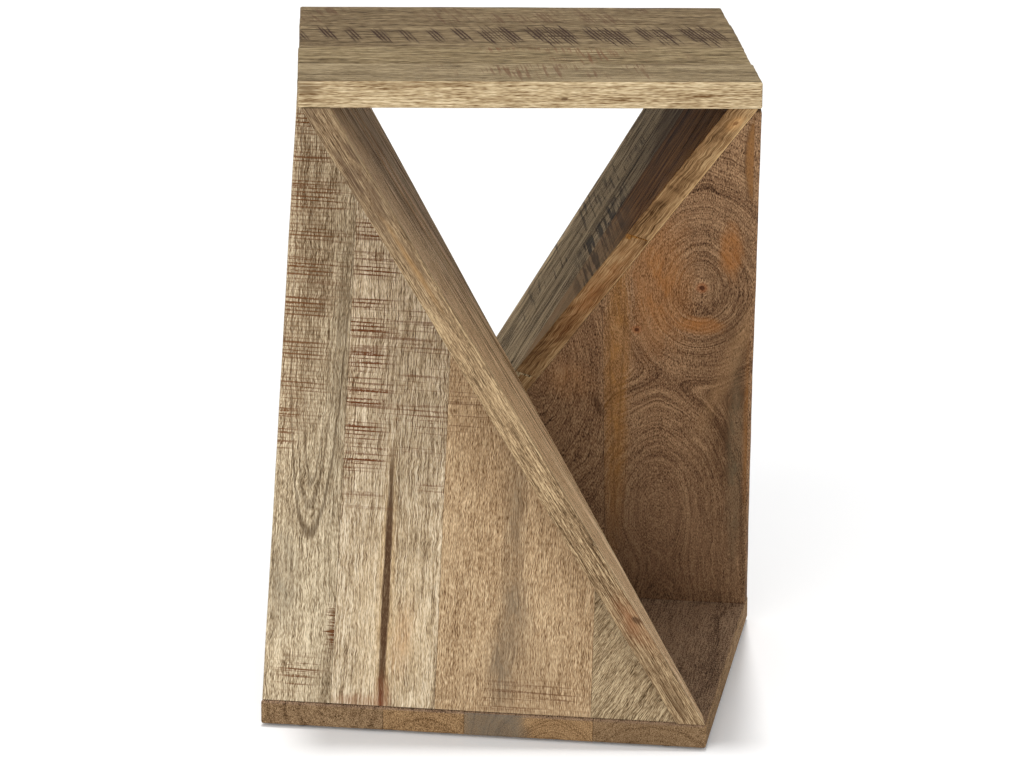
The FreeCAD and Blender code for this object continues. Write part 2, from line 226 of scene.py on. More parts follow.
def rounded_block(places, lows, highs, tight_lows, tight_highs):
    """The skin of a unit block with rounded arrises: six grids of two parameters that share their rims.

    A point that lies in the roundings of two or three sides is drawn onto a quarter circle or an eighth of a ball:
    its distances into those roundings, as shares of their widths, are scaled to a length of 1. Each point also gets
    its edge value: that of a free arris or of one at a tight joint, fading to 0 on the faces. Each quad gets the
    number of its side: 0 and 1 across, 2 and 3 at the ends, 4 and 5 on the faces.
    """
    block = np.stack(np.meshgrid(*places, indexing="ij"), axis=-1)
    lows, highs = np.array(lows), np.array(highs)
    into_low = np.clip((lows - block) / lows, 0, 1)
    into_high = np.clip((block - (1 - highs)) / highs, 0, 1)
    reach = np.maximum(1, np.linalg.norm(into_low + into_high, axis=-1, keepdims=True))
    block = np.where(into_low > 0, lows * (1 - into_low / reach), block)
    block = np.where(into_high > 0, 1 - highs * (1 - into_high / reach), block)
    tight = (into_low * np.array(tight_lows) + into_high * np.array(tight_highs)).max(axis=-1)
    edge = np.clip((reach[..., 0] - 1) / ARRIS_REACH, 0, 1) * np.where(tight > 0, TIGHT_ARRIS, FREE_ARRIS)
    counts = block.shape[:3]
    spots = np.indices(counts)
    on_skin = sum((spots[axis] == 0) | (spots[axis] == counts[axis] - 1) for axis in range(3)) > 0
    number = np.full(counts, -1)
    number[on_skin] = np.arange(on_skin.sum())
    faces = []
    sides = []
    for axis in range(3):
        for side in (0, -1):
            grid = np.take(number, side, axis=axis)
            corners = [grid[:-1, :-1], grid[1:, :-1], grid[1:, 1:], grid[:-1, 1:]]
            quads = np.stack(corners, axis=-1).reshape(-1, 4)
            outward = (side == -1) != (axis == 1)
            faces.append(quads if outward else quads[:, ::-1])
            sides.append(np.full(len(quads), 2 * axis - side))
    return block[on_skin], edge[on_skin], np.concatenate(faces), np.concatenate(sides)


def wear(along, across, seed):
    """How deep a face is worn, from 0 to 1: the sum of three slow waves along and across the board."""
    waves = np.sin(along * 31 + seed * 1.7) + np.sin(along * 83 + across * 40 + seed * 2.9)
    waves = waves + np.sin(across * 95 - along * 17 + seed * 4.3)
    return 0.5 + waves / 6


def make_piece(name, material, spots, faces, grain, edge):
    """A piece from its points and quads; each quad's corners carry their place in the board and their edge value."""
    first, second, third = (spots[faces[:, corner]] for corner in (0, 1, 2))
    if np.einsum("ij,ij->", first, np.cross(second, third)) < 0:
        faces, grain, edge = faces[:, ::-1], grain[:, ::-1], edge[:, ::-1]
    mesh = bpy.data.meshes.new(name)
    mesh.from_pydata(spots, [], faces)
    attribute = mesh.attributes.new("grain", "FLOAT_VECTOR", "CORNER")
    attribute.data.foreach_set("vector", grain.astype(np.float32).ravel())
    attribute = mesh.attributes.new("edge", "FLOAT", "CORNER")
    attribute.data.foreach_set("value", edge.astype(np.float32).ravel())
    mesh.shade_smooth()
    mesh.materials.append(material)
    piece = bpy.data.objects.new(name, mesh)
    bpy.context.scene.collection.objects.link(piece)
    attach(piece, "root")
    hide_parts(name)


def in_frame(turn, x, y, z):
    """Points of a panel's or slab's own frame, in the table's frame."""
    turn = np.array(turn)
    return np.stack([x, y, z], axis=-1) @ turn[:3, :3].T + turn[:3, 3]


def panel_board(panel, number, seed, material):
    """A board of a panel: across from its left joint to its right one, or to the ridge where that comes first.

    Rising, both joints and the free edge drift sideways in a straight line. The ridge is a plane turned by the
    twist, so it meets a level line at (distance - y * sin) / cos. The board ends at the top, or where the ridge cuts
    it to a tip. The sawn face at the ridge has its own grain, along the ridge.
    """
    plan = PANELS[panel]
    shares = (0, *plan["joints"], 1)
    left_foot = FOOT_EDGE + SIDE * shares[number - 1]
    right_foot = FOOT_EDGE + SIDE * shares[number]
    ridge_slope = -SHIFT * (1 + SIN) / COS

    def ridge_foot(depth):
        return (HEAD_FRONT + plan["past"] * DEPTH - (FOOT_FRONT + DEPTH * depth) * SIN) / COS

    def rise_limits(depth):
        gain = EDGE_DRIFT - ridge_slope
        knee = np.clip((ridge_foot(depth) - right_foot) / gain, 0, 1)
        tip = np.minimum(1, (ridge_foot(depth) - left_foot - TIP_WIDTH) / gain)
        return knee, tip

    knee, tip = rise_limits(0.5)
    knee_place = knee / tip
    length = tip * SLOPE
    width = min(right_foot, ridge_foot(0.5)) - left_foot
    left_round = OUTER_ROUND if number == 1 else JOINT_ROUND
    lows = (left_round / width, JOINT_ROUND / length, FACE_ROUND / PANEL)
    highs = (JOINT_ROUND / width, JOINT_ROUND / length, FACE_ROUND / PANEL)
    steps = (STEP_ACROSS / width, STEP_ALONG / length, STEP_DEEP / PANEL)
    places = [places_between(*line) for line in zip(steps, lows, highs)]
    places[1] = np.union1d(places[1], knee_place)
    unit, edge, faces, sides = rounded_block(places, lows, highs, (number > 1, 1, 0), (shares[number] < 1, 1, 0))
    across, along, deep = unit.T

    knee, tip = rise_limits(deep)
    lower = np.clip(along / max(knee_place, 1e-6), 0, 1) * knee
    rise = lower + np.clip((along - knee_place) / (1 - knee_place), 0, 1) * (tip - knee)
    drift = EDGE_DRIFT * rise
    left = left_foot + drift
    if number == 1:
        left = left - EDGE_TWIST * rise * deep + EDGE_WEAR * wear(rise * SLOPE, deep * PANEL, seed + 5)
    right = np.minimum(right_foot + drift, ridge_foot(deep) + ridge_slope * rise)
    x = left + (right - left) * across
    place_across = x - FOOT_EDGE - drift
    hollow = FACE_WEAR * wear(rise * SLOPE, place_across, seed) / PANEL
    deep = deep + hollow * (1 - 2 * deep)
    y = FOOT_FRONT + SHIFT * rise + DEPTH * deep
    z = BASE_FACE + CLEAR * rise
    grain = np.stack([rise * SLOPE, place_across, deep * PANEL], axis=-1)[faces]
    edge = edge[faces]
    ridge_length = math.sqrt(ridge_slope**2 + SHIFT**2 + CLEAR**2)
    strip = np.stack([rise * ridge_length, 1 + deep * PANEL, np.full_like(rise, PANEL / 2)], axis=-1)[faces]
    cut = (sides == 1) & (rise[faces].mean(axis=1) > knee.mean())
    grain[cut] = strip[cut]
    edge[cut] = SAWN
    name = f"{panel}_board_{number}"
    make_piece(name, material, in_frame(plan["frame"], x, y, z), faces, grain, edge)


def slab_board(name, shares, face, thickness, turn, along_x, seed, material):
    """A board of the top or the base: a block with rounded arrises at the slab's rim and close joints elsewhere.

    Its ends are trimmed by hand, some by more than others, and worn by slow waves.
    """
    width = SIDE * (shares[1] - shares[0])
    low_round = OUTER_ROUND if shares[0] == 0 else JOINT_ROUND
    high_round = OUTER_ROUND if shares[1] == 1 else JOINT_ROUND
    lows = (low_round / width, OUTER_ROUND / SIDE, OUTER_ROUND / thickness)
    highs = (high_round / width, OUTER_ROUND / SIDE, OUTER_ROUND / thickness)
    steps = (STEP_ACROSS / width, STEP_ALONG / SIDE, STEP_DEEP / thickness)
    places = [places_between(*line) for line in zip(steps, lows, highs)]
    unit, edge, faces, sides = rounded_block(places, lows, highs, (shares[0] > 0, 0, 0), (shares[1] < 1, 0, 0))
    across, along, deep = unit.T
    place_across = SIDE * shares[0] + width * across
    hollow = FACE_WEAR * wear(along * SIDE, place_across, seed) / thickness
    deep = deep + hollow * (1 - 2 * deep)
    near_trim, far_trim = END_TRIMS[name]
    end_wear = END_WEAR * wear(place_across * 2, deep * thickness, seed + 3)
    along = along + ((near_trim + end_wear) * (1 - along) - (far_trim + end_wear) * along) / SIDE
    z = face - thickness * deep
    x, y = SIDE * along - HALF, place_across - HALF
    if not along_x:
        x, y = y, x
    grain = np.stack([along * SIDE, place_across, deep * thickness], axis=-1)[faces]
    edge = edge[faces]
    edge[(sides == 2) | (sides == 3)] = SAWN
    make_piece(name, material, in_frame(turn, x, y, z), faces, grain, edge)


def spot(along, across, middle, reach, skew=0.0):
    """The distance from an ellipse's middle, 1 on its rim; skew slants its long axis across the board."""
    run = (along - middle[0]) / reach[0]
    beside = (across - middle[1] - (along - middle[0]) * skew) / reach[1]
    return (run * run + beside * beside) ** 0.5


def wandering_side(finish, place, along, across, seed, traits):
    """The place across the board as the grain has it: swayed and rippled by noise, and parted round the knots."""
    sway = finish.noise(place, SWAY, seed, 1.0)
    ripple = finish.noise(place, RIPPLE, seed + 2.6, 1.0)
    side = across + (sway - 0.5) * traits["sway"] + (ripple - 0.5) * traits["ripple"]
    for middle, size in traits["knots"]:
        away = spot(along, across, middle, (size * 2.6, size))
        side = side - (across - middle[1]) * away.step(2.2, 0.0) * 0.75
    return side


def ring_radius(finish, along, side, deep, hearts):
    """The distance from the nearest heart, shortened along the board; where two hearts meet, their rings blend."""
    radius = None
    for heart_along, heart_across, heart_deep, shortening in hearts:
        run = (along - heart_along) * shortening
        beside = side - heart_across
        below = deep - heart_deep
        distance = (run * run + beside * beside + below * below) ** 0.5
        radius = distance if radius is None else finish.math("SMOOTH_MIN", radius, distance, HEART_BLEND)
    return radius


def saw_marks(finish, along, across, mask, seed, blade):
    """Marks of a coarse saw on one face and in one zone: lines across the board, in clusters.

    The lines are sharpened noise, evened by a wave where the length of a tooth is given, and broken by the grain.
    Clusters follow a wave where their pitch is given, and a noise elsewhere. A haze lies between the lines of a
    cluster, and the ends of the lines are ragged.
    """
    skewed = along + across * blade["skew"]
    bent = finish.node("ShaderNodeCombineXYZ", {}, {0: skewed, 1: across})
    line = finish.noise(bent, (blade["fine"], 9, 3), seed + 2.2)
    if blade["tooth"]:
        swing = finish.noise(bent, (60, 4, 3), seed + 4.4, 1.0) * 7
        line = line * 0.6 + 0.2 + (skewed * (math.tau / blade["tooth"]) + swing).sine() * 0.14
    broken = finish.noise(bent, (420, blade["breaks"], 3), seed + 6.1)
    line = (line + (broken - 0.5) * 0.32).step(blade["cut"], blade["cut"] + 0.10)
    line = blade["haze"] + line * (1 - blade["haze"])
    if blade["pitch"]:
        swing = finish.noise(bent, (14, 1, 3), seed, 1.0) * 9
        cluster = (skewed * (math.tau / blade["pitch"]) + swing).sine().step(-0.3, 0.5)
    else:
        cluster = finish.noise(bent, (blade["coarse"], blade["patchy"], 3), seed + 8.8, 1.0)
        cluster = cluster.step(blade["thin"], blade["thin"] + 0.16)
    cluster = blade["rest"] + cluster * (1 - blade["rest"])
    ends = finish.noise(bent, (260, 0, 0), seed + 5.3, 1.0)
    ragged = across + (ends - 0.5) * blade["jag"]
    zone = along.band(*blade["along"], blade["fade"]) * ragged.band(*blade["across"], blade["soft"])
    return line * cluster * zone * mask * blade["strength"]


def board_wood(name, seed, traits):
    """Wood of one board, read from each point's place along, across and deep in it.

    The grain wanders sideways by a slow noise and parts round the knots. Growth rings are the level lines of the
    distance from the hearts, shortened along the board, so they show as lines, arches or ovals on the faces and as
    arcs on the ends. Clouds, streaks, threads, flecks, mottle and pores are noise, most of it stretched along the
    grain. Rings, clouds, streaks, threads, flecks and mottle, each by its weight, make up the tone. Blotches are
    soft ellipses of a colour, arches the dark rims of long ellipses, and saw marks fine lines across the board.
    """
    finish = Finish(bpy.data.materials.new(name))
    place = finish.node("ShaderNodeAttribute", {"attribute_name": "grain"}, {}, "Vector")
    edge = finish.node("ShaderNodeAttribute", {"attribute_name": "edge"}, {}, "Fac")
    split = finish.node("ShaderNodeSeparateXYZ", {}, {0: place}).output.node
    along, across, deep = (Socket(finish, output) for output in split.outputs)
    cut = edge.step(SAWN - 0.6, SAWN - 0.4)

    # Masks of the board's sides; calling one adds its nodes.
    masks = {
        "outer": lambda: deep.step(*ON_FACE),
        "inner": lambda: deep.step(PANEL - ON_FACE[0], PANEL - ON_FACE[1]) * across.step(*reversed(ON_EDGE)),
        "edge": lambda: across.step(*ON_EDGE),
        "far": lambda: across.band(SIDE - 0.001, SIDE + 0.1, 0.001),
        "cut": lambda: cut,
    }

    side = wandering_side(finish, place, along, across, seed, traits)
    cloud = finish.noise(place, CLOUD, seed + 4.9)
    mottle = finish.noise(place, MOTTLE, seed + 5.5, 3.0, 0.65)
    radius = ring_radius(finish, along, side, deep, traits["hearts"])
    radius = radius + ((mottle - 0.5) + (cloud - 0.5) * 3.6) * traits["stray"]
    ring = finish.node("ShaderNodeCombineXYZ", {}, {0: radius})
    ring = finish.noise(ring, (1.5 / traits["spacing"],) * 3, seed, 1.5).step(0.46, 0.70)
    turned_along = along * math.cos(traits["turn"]) + side * math.sin(traits["turn"])
    turned_side = side * math.cos(traits["turn"]) - along * math.sin(traits["turn"])
    flow = finish.node("ShaderNodeCombineXYZ", {}, {0: turned_along, 1: turned_side, 2: deep})
    grit_along, grit_across = traits["grit"]
    fleck = finish.noise(flow, (grit_along, grit_across, grit_across), seed + 7.7, 1.0, 0.5)
    pore = finish.noise(flow, PORE, seed + 9.2, 1.0).step(0.57, 0.68)
    if traits["whirl"]:
        flow = finish.node("ShaderNodeCombineXYZ", {}, {0: turned_along, 1: radius, 2: deep})
    streak = finish.noise(flow, STREAK, seed + 1.3, 2.0, 0.6)
    thread = finish.noise(flow, THREAD, seed + 3.8, 2.0, 0.6)

    of_cloud, of_streak, of_thread, of_fleck, of_mottle, of_ring = traits["weights"]
    loud = 1 - finish.math("MAXIMUM", cut, masks["edge"]()) * traits["calm"]
    tone = 0.5 + (cloud - 0.5) * of_cloud + ((streak - 0.5) * of_streak + (thread - 0.5) * of_thread) * loud
    tone = tone + (fleck - 0.5) * of_fleck * (1 - cut * traits["calm"]) + (mottle - 0.5) * of_mottle
    tone = tone + (0.35 - ring) * of_ring * (1 + cut * 0.3)

    def toned(tones):
        """The colour of the tone between a dark, a middle and a pale one, with dark pores."""
        dark, middle, pale = (paint(*colour) for colour in tones)
        mixed = finish.mix(tone.step(0.42, 1.0), middle, pale)
        mixed = finish.mix(tone.step(0.58, 0.0), mixed, dark)
        return finish.mix(pore * traits["pores"], mixed, dark)

    colour = toned(traits["tones"])
    for side_name, tones in traits["sides"].items():
        colour = finish.mix(masks[side_name](), colour, toned(tones))
    dark, _, pale = (paint(*tone_colour) for tone_colour in traits["tones"])

    for patch in traits["blotches"]:
        soft = patch["soft"]
        sideways = deep if patch["side"] == "edge" else across
        away = spot(along, sideways, patch["middle"], patch["reach"], patch["skew"])
        rough_rim = away + (mottle - 0.5) * 2.4 * soft + (thread - 0.5) * 1.6 * soft
        share = rough_rim.step(1.0 + soft, 1.0 - soft) * masks[patch["side"]]() * patch["strength"]
        share = share * (1 - mottle.step(0.60, 0.40) * soft * 0.7)
        colour = finish.mix(share * (0.75 + (fleck - 0.5) * 1.5), colour, paint(*patch["tint"]))
    for middle, reach, strength in traits["arches"]:
        away = spot(along, side, middle, reach) + (mottle - 0.5) * 0.04
        share = away.band(0.98, 1.02, 0.015) * (0.75 + (fleck - 0.5) * 0.8)
        colour = finish.mix(share * masks["outer"]() * strength, colour, dark)
    for middle, size in traits["knots"]:
        away = spot(along, across, middle, (size * 1.2, size)) + (mottle - 0.5) * 0.5
        colour = finish.mix(away.step(1.5, 0.5) * 0.5, colour, paint(*traits["knot_halo"]))
        colour = finish.mix(away.step(0.75, 0.35) * 0.85, colour, paint(*traits["knot_heart"]))

    height = fleck * 0.6 + thread * 0.4 - pore * 0.5 - ring * 0.1
    if traits["saws"]:
        marks = 0.0
        for blade in traits["saws"]:
            marks = saw_marks(finish, along, across, masks[blade["side"]](), seed, blade) + marks
        colour = finish.mix(marks, colour, paint(*traits["saw_colour"]))
        height = height - marks * 0.7

    colour = finish.mix(edge.band(0.6, 1.1, 0.3) * 0.35 * streak.step(0.35, 0.65), colour, pale)
    colour = finish.mix(edge.step(-0.2, -1.0) * 0.55, colour, dark)
    bump = finish.node("ShaderNodeBump", {}, {"Strength": 0.5, "Distance": 0.0005, "Height": height})
    roughness = 0.76 - tone * 0.12
    sockets = {"Base Color": colour, "Roughness": roughness, "Normal": bump, "Specular IOR Level": 0.03}
    return finish.surface(finish.principled(sockets))


def look(tones, **changes):
    """A board's look: its three tones from dark to pale, and what differs from a plain board with nothing on it.

    sides: other tones on single sides. weights: of clouds, streaks, threads, flecks, mottle and rings in the tone.
    calm: how much quieter the sawn ends and the free edge are. pores: how dark they are.
    grit: how fine the flecks are along and across. turn: the angle of the grain to the board.
    sway and ripple: how far the grain wanders. stray: how far the rings do. spacing: between rings.
    hearts: place along, across and deep, and the shortening along. whirl: streaks and threads follow the rings.
    knots: middle and size. arches: middle, half lengths along and across, strength.
    """
    plain = {
        "tones": tones, "sides": {}, "weights": FINE, "calm": 0.7, "pores": 0.4, "grit": (230, 2500), "turn": 0.0,
        "sway": 0.010, "ripple": 0.004, "stray": 0.005, "spacing": 0.009, "hearts": ((0.3, -0.25, 0.05, 0.1),),
        "whirl": False, "knots": (), "arches": (), "blotches": (), "saws": (),
        "saw_colour": (96, 58, 36), "knot_halo": (150, 84, 46), "knot_heart": (58, 32, 20),
    }
    return plain | changes


def blotch(side, middle, reach, soft, strength, tint, skew=0.0):
    """A blotch: its side, its middle and half lengths along and across, how soft its rim is, and its colour.

    On a free edge, the depth stands for the place across. Some blotches are painted shade and painted highlight.
    """
    return {
        "side": side, "middle": middle, "reach": reach, "skew": skew,
        "soft": soft, "strength": strength, "tint": tint,
    }


def saw(side, along, across, **changes):
    """Saw marks: on which side, from where to where along and across the board, and what differs from the usual.

    skew: how the lines slant. fine, coarse and patchy: how fine the lines are, and the clusters along and across.
    cut and thin: how high the noise of lines and of clusters has to be to show. rest: the strength between clusters.
    pitch and tooth: lengths of the waves that even out clusters and lines. breaks: how finely the lines are broken.
    fade and soft: how slowly the zone ends along and across. jag: how ragged the lines' ends are.
    haze: the strength between the lines of a cluster.
    """
    usual = {
        "strength": 0.9, "skew": 0.02, "fine": 640, "coarse": 30, "patchy": 10, "cut": 0.53, "thin": 0.42,
        "rest": 0.0, "pitch": 0.0, "tooth": 0.0, "breaks": 640, "fade": 0.04, "soft": 0.015, "jag": 0.02,
        "haze": 0.0,
    }
    return usual | {"side": side, "along": along, "across": across} | changes


# Weights of clouds, streaks, threads, flecks, mottle and rings in the tone of a board.
FINE = (0.4, 0.4, 1.36, 1.725, 0.3, 0.15)
FLAT = (0.4, 0.8, 2.21, 1.2, 0.25, 0.10)
RAKED = (0.5, 2.6, 4.42, 0.6, 0.4, 0.10)

# Tones of wood, each a dark, a middle and a pale one, and a tint, as colours from 0 to 255.
GREYED = ((75, 56, 37), (171, 150, 119), (240, 223, 191))
TAN = ((80, 56, 38), (194, 171, 137), (246, 230, 202))
PEACH = ((90, 61, 36), (182, 151, 114), (236, 210, 171))
SLATE = ((49, 38, 26), (131, 111, 79), (180, 161, 125))
SLATE_PALE = ((56, 43, 31), (141, 122, 91), (190, 171, 136))
SLATE_DEEP = ((42, 32, 22), (118, 98, 71), (166, 146, 112))
DUSK = ((52, 44, 33), (141, 118, 87), (188, 167, 131))
DRIFT = ((104, 80, 56), (158, 131, 99), (192, 166, 131))
UMBER = ((40, 25, 16), (128, 95, 69), (180, 146, 109))
EARTH = ((62, 42, 26), (126, 100, 72), (172, 144, 110))
EARTH_WARM = ((68, 46, 28), (140, 109, 75), (186, 153, 112))
HUMUS = ((50, 37, 27), (130, 103, 81), (174, 146, 117))
HONEY = ((104, 74, 44), (186, 162, 124), (232, 212, 174))
RUSSET = ((98, 67, 42), (220, 181, 136), (252, 224, 182))
STRIP = ((58, 40, 24), (147, 120, 89), (212, 186, 145))
RIDGE = ((58, 37, 19), (140, 107, 72), (190, 159, 115))
# A dark brown wood, darkened further by painted shade: the shade under the top on the right panel's inner face.
LOAM_WITH_PAINTED_SHADE = ((36, 22, 8), (105, 65, 28), (144, 100, 51))
FAWN = ((66, 48, 30), (152, 129, 98), (216, 195, 158))
ORANGE = (162, 103, 50)

# Settings that boards share: of the top, of the base, and of the right panel, whose ridge faces show.
SMOOTHED = {"weights": FLAT, "grit": (110, 600), "ripple": 0.0, "sway": 0.006}
TRODDEN = {"grit": (300, 1200), "calm": 0.1, "sides": {"outer": HUMUS}}
RIDGED = {"weights": RAKED, "sides": {"outer": DRIFT, "cut": RIDGE}}

